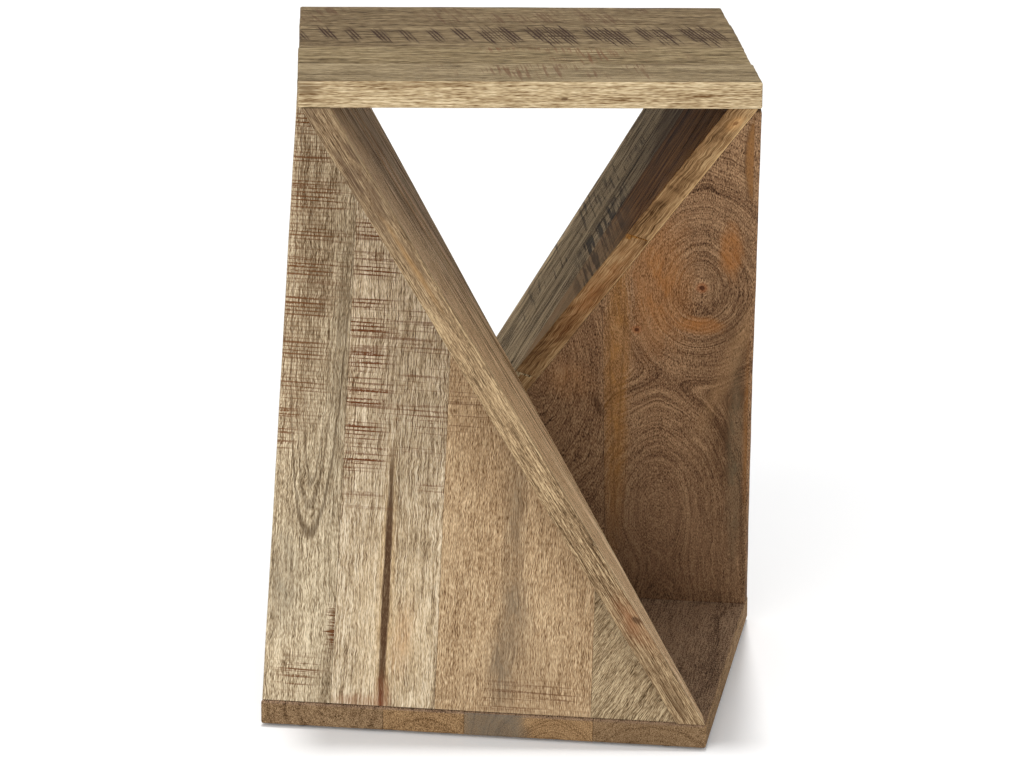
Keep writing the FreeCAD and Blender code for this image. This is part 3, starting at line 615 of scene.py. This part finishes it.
LOOKS = {
    "top_board_front": look(
        SLATE_PALE, weights=FLAT, grit=(140, 1700), ripple=0.0, sway=0.003, sides={"edge": HONEY}, calm=0.3,
        saw_colour=(104, 72, 52),
        saws=(
            saw("outer", (0.13, 0.33), (0.03, 0.09), skew=0.05, coarse=34, fine=420, strength=0.7, cut=0.48,
                jag=0.10, breaks=130),
        ),
        blotches=(
            blotch("edge", (0.233, 0.0152), (0.003, 0.0014), 0.4, 0.9, (70, 40, 24)),
            blotch("edge", (0.008, 0.006), (0.012, 0.008), 0.8, 0.8, (92, 70, 46)),
            blotch("edge", (0.10, 0.0022), (0.05, 0.0012), 0.6, 0.6, (104, 76, 44)),
            blotch("outer", (0.34, 0.088), (0.07, 0.0022), 0.5, 0.6, (70, 52, 36)),
        ),
    ),
    "top_board_front_middle": look(
        SLATE, **SMOOTHED, saw_colour=(112, 76, 54),
        saws=(
            saw("outer", (0.14, 0.34), (0.11, 0.19), skew=0.05, coarse=18, fine=420, strength=0.7, cut=0.48,
                jag=0.10, breaks=130),
        ),
    ),
    "top_board_back_middle": look(
        SLATE_DEEP, **SMOOTHED, saw_colour=(58, 40, 30),
        saws=(
            saw("outer", (-0.1, 0.5), (0.215, 0.275), skew=0.16, pitch=0.0245, tooth=0.0036, fine=460, cut=0.46,
                strength=1.0, jag=0.08, breaks=130, haze=0.26),
            saw("outer", (0.17, 0.5), (0.200, 0.285), skew=0.16, pitch=0.0490, tooth=0.0036, fine=460, cut=0.47,
                strength=1.0, jag=0.12, breaks=130, haze=0.14),
        ),
    ),
    "top_board_back": look(
        SLATE_DEEP, **SMOOTHED, saw_colour=(92, 66, 48),
        saws=(
            saw("outer", (-0.1, 0.5), (0.31, 0.40), skew=0.16, coarse=22, fine=420, strength=0.6, cut=0.49,
                jag=0.10, breaks=130),
        ),
    ),
    "base_board_left": look(EARTH, **TRODDEN, hearts=((0.2, 0.066, 0.004, 0.02),), spacing=0.004),
    "base_board_left_middle": look(EARTH_WARM, **TRODDEN, hearts=((0.2, 0.15, 0.06, 0.02),), spacing=0.004),
    "base_board_right_middle": look(
        EARTH_WARM, **TRODDEN, hearts=((0.2, 0.27, 0.04, 0.02),), spacing=0.004,
        blotches=(
            blotch("cut", (0.0, 0.213), (0.05, 0.028), 0.3, 0.85, (104, 101, 92)),
        ),
    ),
    "base_board_right": look(
        EARTH, grit=(300, 1200), calm=0.1, ripple=0.001, sides={"outer": HUMUS, "far": EARTH_WARM},
        hearts=((0.2, 0.36, 0.08, 0.02),), spacing=0.005,
        blotches=(
            blotch("cut", (0.0, 0.355), (0.05, 0.060), 0.5, 0.4, (100, 78, 54)),
        ),
    ),
    "front_panel_board_1": look(
        GREYED, hearts=((0.585, 0.0286, 0.0, 0.073),), spacing=0.0055, stray=0.0016,
        weights=(0.3, 0.3, 1.36, 1.725, 0.3, 0.15), saw_colour=(108, 70, 43),
        arches=(
            ((0.45, 0.035), (0.29, 0.028), 0.75),
            ((0.45, 0.034), (0.265, 0.021), 0.5),
            ((0.45, 0.035), (0.243, 0.014), 0.65),
        ),
        saws=(
            saw("outer", (0.27, 0.63), (-0.01, 0.042), cut=0.51, pitch=0.036, tooth=0.0039, rest=0.45, fine=430,
                strength=0.85, haze=0.15),
            saw("outer", (0.40, 0.63), (-0.01, 0.060), coarse=24, fine=430, strength=0.7),
            saw("outer", (0.235, 0.29), (-0.01, 0.014), fine=430, thin=0.1, cut=0.50, fade=0.01),
            saw("outer", (0.012, 0.04), (0.015, 0.055), fade=0.01, thin=0.25, cut=0.50),
            saw("outer", (0.05, 0.09), (0.057, 0.07), fade=0.01, soft=0.004, thin=0.1, cut=0.47, strength=1.0),
        ),
        blotches=(
            blotch("outer", (0.32, 0.056), (0.12, 0.007), 0.8, 0.6, (104, 92, 74)),
            blotch("outer", (0.113, 0.0145), (0.045, 0.013), 0.8, 0.8, (104, 95, 80)),
        ),
    ),
    "front_panel_board_2": look(
        TAN, weights=(0.25, 0.3, 2.04, 1.575, 0.2, 0.1), saw_colour=(108, 66, 42),
        saws=(
            saw("outer", (0.22, 0.52), (0.062, 0.100), pitch=0.034, tooth=0.0039, fine=430, cut=0.50, haze=0.12),
            saw("outer", (0.19, 0.46), (0.06, 0.16), coarse=24, fine=430, strength=0.7),
        ),
        blotches=(
            blotch("outer", (0.08, 0.12), (0.09, 0.040), 0.9, 0.5, (240, 212, 168)),
            blotch("outer", (0.063, 0.126), (0.030, 0.009), 0.7, 0.5, (196, 144, 92), skew=0.1),
            blotch("outer", (0.11, 0.1093), (0.115, 0.0062), 0.5, 0.5, (226, 186, 130)),
            blotch("outer", (0.11, 0.1093), (0.120, 0.0034), 0.3, 1.6, (84, 60, 42)),
            blotch("outer", (0.008, 0.1100), (0.016, 0.007), 0.6, 0.7, (150, 92, 60)),
            blotch("outer", (0.006, 0.1095), (0.008, 0.003), 0.5, 1.0, (96, 44, 28)),
            blotch("outer", (0.004, 0.088), (0.006, 0.022), 0.6, 0.5, (150, 92, 60)),
            blotch("outer", (0.28, 0.12), (0.10, 0.035), 0.8, 0.4, (132, 118, 94)),
        ),
    ),
    "front_panel_board_3": look(
        PEACH, weights=(0.25, 0.2, 1.19, 1.875, 0.4, 0.06),
        blotches=(
            blotch("outer", (0.16, 0.225), (0.14, 0.009), 0.8, 0.7, (106, 90, 72), skew=0.02),
            blotch("outer", (0.03, 0.235), (0.04, 0.03), 0.8, 0.45, (118, 94, 70)),
            blotch("outer", (0.045, 0.217), (0.030, 0.010), 0.8, 0.8, (112, 100, 84)),
            blotch("outer", (0.090, 0.231), (0.032, 0.011), 0.8, 0.65, (112, 100, 84)),
        ),
        saws=(
            saw("outer", (0.2, 0.32), (0.15, 0.20), coarse=20, strength=0.5),
            saw("outer", (0.0, 0.03), (0.2, 0.29), coarse=40, strength=0.6, fade=0.01),
        ),
    ),
    "front_panel_board_4": look(FAWN, turn=0.55, weights=(0.4, 0.4, 1.53, 1.575, 0.3, 0.1)),
    "back_panel_board_1": look(
        UMBER, hearts=((0.428, 0.046, 0.022, 0.65), (0.13, 0.086, 0.022, 0.45), (-0.04, 0.078, 0.022, 0.30)),
        spacing=0.0028, whirl=True, weights=(0.25, 0.1, 0.85, 2.025, 0.2, 0.2), sway=0.016, stray=0.004,
        grit=(360, 2000), knots=(((0.428, 0.046), 0.005), ((0.371, 0.106), 0.004)),
        blotches=(
            blotch("inner", (0.26, 0.015), (0.20, 0.030), 0.9, 0.95, (74, 52, 34)),
            blotch("inner", (0.06, 0.085), (0.11, 0.060), 0.9, 0.6, (146, 112, 84)),
            blotch("inner", (0.475, 0.020), (0.03, 0.010), 0.5, 0.75, ORANGE),
            blotch("inner", (0.38, 0.047), (0.010, 0.020), 0.5, 0.75, ORANGE),
            blotch("inner", (0.43, 0.085), (0.07, 0.024), 0.7, 0.7, (162, 104, 50)),
            blotch("inner", (0.29, 0.125), (0.17, 0.010), 0.7, 0.8, (170, 120, 62), skew=-0.02),
            blotch("inner", (0.27, 0.1300), (0.13, 0.0010), 0.8, 0.6, (58, 38, 22), skew=0.02),
            blotch("inner", (0.31, 0.1200), (0.11, 0.0010), 0.8, 0.6, (58, 38, 22), skew=-0.04),
            blotch("inner", (0.20, 0.013), (0.11, 0.006), 0.8, 0.8, (112, 100, 78)),
            blotch("inner", (0.24, 0.002), (0.10, 0.003), 0.6, 0.6, (160, 108, 58)),
            blotch("inner", (0.365, 0.100), (0.012, 0.020), 0.7, 0.4, (170, 130, 92)),
            blotch("inner", (0.335, 0.018), (0.08, 0.008), 0.7, 0.4, (190, 150, 106), skew=-0.30),
            blotch("inner", (0.588, 0.0), (0.052, 0.0105), 0.2, 0.8, (60, 36, 20)),
            blotch("inner", (0.588, 0.0), (0.048, 0.0085), 0.2, 0.65, (164, 116, 68)),
        ),
    ),
    "back_panel_board_2": look(
        UMBER, hearts=((0.31, 0.20, 0.022, 0.4),), spacing=0.004, weights=(0.5, 0.4, 1.02, 1.8, 0.4, 0.14),
        whirl=True, sway=0.016, stray=0.004, grit=(300, 1800),
        blotches=(
            blotch("inner", (0.27, 0.143), (0.012, 0.003), 0.4, 0.9, (48, 26, 14), skew=0.2),
            blotch("inner", (0.30, 0.17), (0.02, 0.018), 0.8, 0.4, (176, 124, 76)),
        ),
    ),
    "back_panel_board_3": look(UMBER),
    "back_panel_board_4": look(UMBER),
    "left_panel_board_1": look(
        STRIP, weights=(0.3, 0.5, 2.21, 1.65, 0.25, 0.1), calm=0.0, sway=0.002, ripple=0.0,
        sides={"inner": RUSSET},
        blotches=(
            blotch("edge", (0.16, 0.012), (0.04, 0.0024), 0.6, 0.6, (196, 140, 62), skew=0.02),
            blotch("edge", (0.540, 0.015), (0.024, 0.0100), 0.8, 0.7, (152, 88, 52)),
            blotch("edge", (0.535, 0.018), (0.004, 0.0028), 0.4, 1.2, (56, 28, 16)),
            blotch("edge", (0.625, 0.008), (0.016, 0.0050), 0.8, 0.6, (74, 54, 36)),
            blotch("edge", (0.05, 0.011), (0.16, 0.0200), 0.8, 1.0, (96, 76, 60)),
            blotch("edge", (0.60, 0.011), (0.12, 0.0200), 0.8, 0.5, (104, 80, 56)),
            blotch("edge", (0.28, 0.011), (0.13, 0.0200), 0.8, 0.35, (214, 182, 138)),
            blotch("inner", (0.02, 0.040), (0.16, 0.0600), 0.8, 0.5, (126, 106, 84)),
        ),
    ),
    "left_panel_board_2": look(
        RUSSET, weights=RAKED, sides={"outer": DRIFT},
        blotches=(
            blotch("inner", (0.02, 0.120), (0.14, 0.050), 0.8, 0.5, (122, 104, 83)),
            blotch("inner", (0.10, 0.165), (0.10, 0.005), 0.6, 0.7, (206, 146, 86)),
        ),
    ),
    "left_panel_board_3": look(
        RUSSET, weights=RAKED, sides={"outer": DRIFT},
        blotches=(
            blotch("inner", (0.12, 0.205), (0.09, 0.006), 0.6, 0.6, (206, 146, 86)),
            blotch("inner", (0.02, 0.250), (0.16, 0.030), 0.8, 0.4, (132, 112, 88)),
        ),
    ),
    "left_panel_board_4": look(RUSSET, weights=RAKED, sides={"outer": DRIFT}),
    "right_panel_board_1": look(
        DUSK, **RIDGED, saw_colour=(34, 26, 18),
        saws=(
            saw("inner", (0.0, 0.7), (-0.1, 0.2), fine=240, strength=0.7),
        ),
    ),
    "right_panel_board_2": look(
        DUSK, **RIDGED, saw_colour=(34, 26, 19),
        saws=(
            saw("inner", (0.14, 0.225), (0.14, 0.25), fine=240, cut=0.43, thin=0.30, fade=0.015, strength=0.85),
        ),
        blotches=(
            # A painted shadow of the top on the inner face; its rim slants across the board.
            blotch("inner", (0.06, 0.190), (0.13, 0.100), 0.35, 0.9, (88, 66, 45), skew=2.2),
        ),
    ),
    "right_panel_board_3": look(
        LOAM_WITH_PAINTED_SHADE, **RIDGED, hearts=((0.27, 1.035, 0.011, 0.7), (0.3, -0.3, 0.05, 0.1)), calm=0.65,
        saw_colour=(34, 26, 19),
        saws=(
            saw("inner", (0.15, 0.235), (0.20, 0.30), fine=300, cut=0.48, thin=0.30, fade=0.015, strength=0.7),
        ),
        blotches=(
            # The wood's own grey on the lower part of the inner face, below the painted shade of the dark brown
            # tone.
            blotch("inner", (0.36, 0.250), (0.20, 0.120), 0.2, 0.95, (158, 133, 100)),
            blotch("cut", (0.27, 1.010), (0.06, 0.008), 0.8, 0.5, (150, 88, 44)),
            # A painted highlight: a thin pale line along the ridge face's arris beside the back panel.
            blotch("cut", (0.15, 1.0006), (0.14, 0.0007), 0.3, 0.8, (214, 176, 124)),
        ),
    ),
    "right_panel_board_4": look(
        LOAM_WITH_PAINTED_SHADE, **RIDGED, hearts=((0.18, 1.030, 0.011, 0.7), (0.3, -0.3, 0.05, 0.1)), calm=0.65,
        blotches=(
            blotch("cut", (0.021, 1.008), (0.010, 0.005), 0.5, 0.5, (214, 160, 100)),
            blotch("cut", (0.021, 1.008), (0.003, 0.0018), 0.4, 0.9, (96, 52, 26)),
            # A painted highlight: a thin pale line along the ridge face's arris beside the back panel.
            blotch("cut", (0.10, 1.0006), (0.16, 0.0007), 0.3, 0.8, (214, 176, 124)),
            # Painted shade: the inner face darker towards the top, under the top.
            blotch("inner", (0.02, 0.25), (0.14, 0.15), 0.9, 0.55, (40, 27, 15)),
        ),
    ),
}


def make_boards():
    """All boards of the panels, the top and the base."""
    for seed, name in enumerate(LOOKS):
        wood = board_wood(name, 3.7 * seed, LOOKS[name])
        if name in TOP_BOARDS:
            number = TOP_BOARDS.index(name)
            shares = (0, *TOP_JOINTS, 1)[number:number + 2]
            thickness = TOP_FACE - TOP_UNDER
            slab_board(name, shares, TOP_FACE, thickness, Matrix.Identity(4), True, seed, wood)
        elif name in BASE_BOARDS:
            number = BASE_BOARDS.index(name)
            shares = (0, *BASE_JOINTS, 1)[number:number + 2]
            thickness = BASE_FACE - BASE_UNDER
            turn = Matrix.Rotation(-TWIST, 4, "Z")
            slab_board(name, shares, BASE_FACE, thickness, turn, False, seed, wood)
        else:
            panel, number = name.split("_board_")
            panel_board(panel, int(number), seed, wood)


def dress_solids():
    """Finishes of the solids that stay as they are: moulded glides and turned dowels."""
    glide = Finish(bpy.data.materials.new("glide_moulding"))
    place = glide.node("ShaderNodeTexCoord", {}, {}, "Object")
    speckle = glide.noise(place, (900, 900, 900), 0.0)
    colour = glide.mix(speckle, paint(34, 32, 30), paint(52, 49, 46))
    bump = glide.node("ShaderNodeBump", {}, {"Strength": 0.2, "Distance": 0.0002, "Height": speckle})
    sockets = {"Base Color": colour, "Roughness": 0.5 + speckle * 0.2, "Normal": bump}
    moulding = glide.surface(glide.principled(sockets))
    dowel = Finish(bpy.data.materials.new("dowel_beech"))
    place = dowel.node("ShaderNodeTexCoord", {}, {}, "Object")
    fleck = dowel.noise(place, (300, 300, 120), 2.0, 3.0)
    colour = dowel.mix(fleck, paint(190, 150, 108), paint(222, 186, 146))
    sockets = {"Base Color": colour, "Roughness": 0.6 + fleck * 0.1}
    beech = dowel.surface(dowel.principled(sockets))
    for name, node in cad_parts.items():
        if name == "floor_glides" or name.endswith(("_dowel", "_dowels")):
            node.data.materials.clear()
            node.data.materials.append(moulding if name == "floor_glides" else beech)


def sunlight(name, heading, width, power):
    """A distant lamp that shines along its heading and looks as wide as the given degrees."""
    light = bpy.data.lights.new(name, "SUN")
    light.energy = power
    light.angle = math.radians(width)
    holder = bpy.data.objects.new(name, light)
    holder.rotation_euler = Vector(heading).to_track_quat("-Z", "Y").to_euler()
    bpy.context.scene.collection.objects.link(holder)


def lay_floor():
    """A pale floor that keeps the shadow. It glows a little to the camera, to be white away from the table."""
    floor = Finish(bpy.data.materials.new("studio_floor"))
    place = floor.node("ShaderNodeTexCoord", {}, {}, "Object")
    white = floor.mix(floor.noise(place, (3, 3, 3), 0.0), (0.94, 0.94, 0.94, 1), (0.95, 0.95, 0.95, 1))
    matt = floor.principled({"Base Color": white, "Roughness": 1.0, "Specular IOR Level": 0.0})
    glow = floor.node("ShaderNodeEmission", {}, {"Color": (1, 1, 1, 1), "Strength": 0.09})
    lit = floor.node("ShaderNodeAddShader", {}, {0: matt, 1: glow})
    seen = floor.node("ShaderNodeLightPath", {}, {}, "Is Camera Ray")
    material = floor.surface(floor.node("ShaderNodeMixShader", {}, {0: seen, 1: matt, 2: lit}))
    reach = 40.0
    corners = [(-reach, -reach, 0), (reach, -reach, 0), (reach, reach, 0), (-reach, reach, 0)]
    mesh = bpy.data.meshes.new("studio_floor")
    mesh.from_pydata(corners, [], [(0, 1, 2, 3)])
    mesh.materials.append(material)
    ground = bpy.data.objects.new("studio_floor", mesh)
    bpy.context.scene.collection.objects.link(ground)


def light_studio():
    """A white world, dimmer as a light than it looks, a soft lamp in front and a smaller one overhead."""
    world = Finish(bpy.data.worlds.new("studio"))
    seen = world.node("ShaderNodeLightPath", {}, {}, "Is Camera Ray")
    for kind in ("Is Glossy Ray", "Is Transmission Ray"):
        seen = world.math("MAXIMUM", seen, world.node("ShaderNodeLightPath", {}, {}, kind))
    level = world.node("ShaderNodeMapRange", {}, {"Value": seen, "To Min": 0.40, "To Max": 1.0})
    background = world.node("ShaderNodeBackground", {}, {"Color": (1, 1, 1, 1), "Strength": level})
    bpy.context.scene.world = world.surface(background, "ShaderNodeOutputWorld")
    sunlight("front_light", (0.30, 1.0, -0.53), 50, 1.6)
    sunlight("overhead_light", (0.005, -0.045, -1.0), 5, 1.45)


def camera():
    """The view of the photograph: far off, with a long lens, turned a little and looking down.

    The place and the turns are those that bring the corners of the top and the base onto the photograph's.
    """
    lens = bpy.data.cameras.new("camera")
    lens.sensor_width = 36.0
    lens.lens = 152.25
    lens.clip_end = 100.0
    view = bpy.data.objects.new("camera", lens)
    place = Matrix.Translation((-0.4222 * SIDE, -9.6298 * SIDE, 3.1091 * SIDE + BASE_UNDER))
    turn = Matrix.Rotation(-0.24673, 4, "X") @ Matrix.Rotation(-0.04135, 4, "Z")
    view.matrix_world = place @ turn @ Matrix.Rotation(math.pi / 2, 4, "X")
    bpy.context.scene.collection.objects.link(view)
    bpy.context.scene.camera = view
    bpy.context.scene.view_settings.view_transform = "Standard"


make_boards()
dress_solids()
lay_floor()
light_studio()
camera()
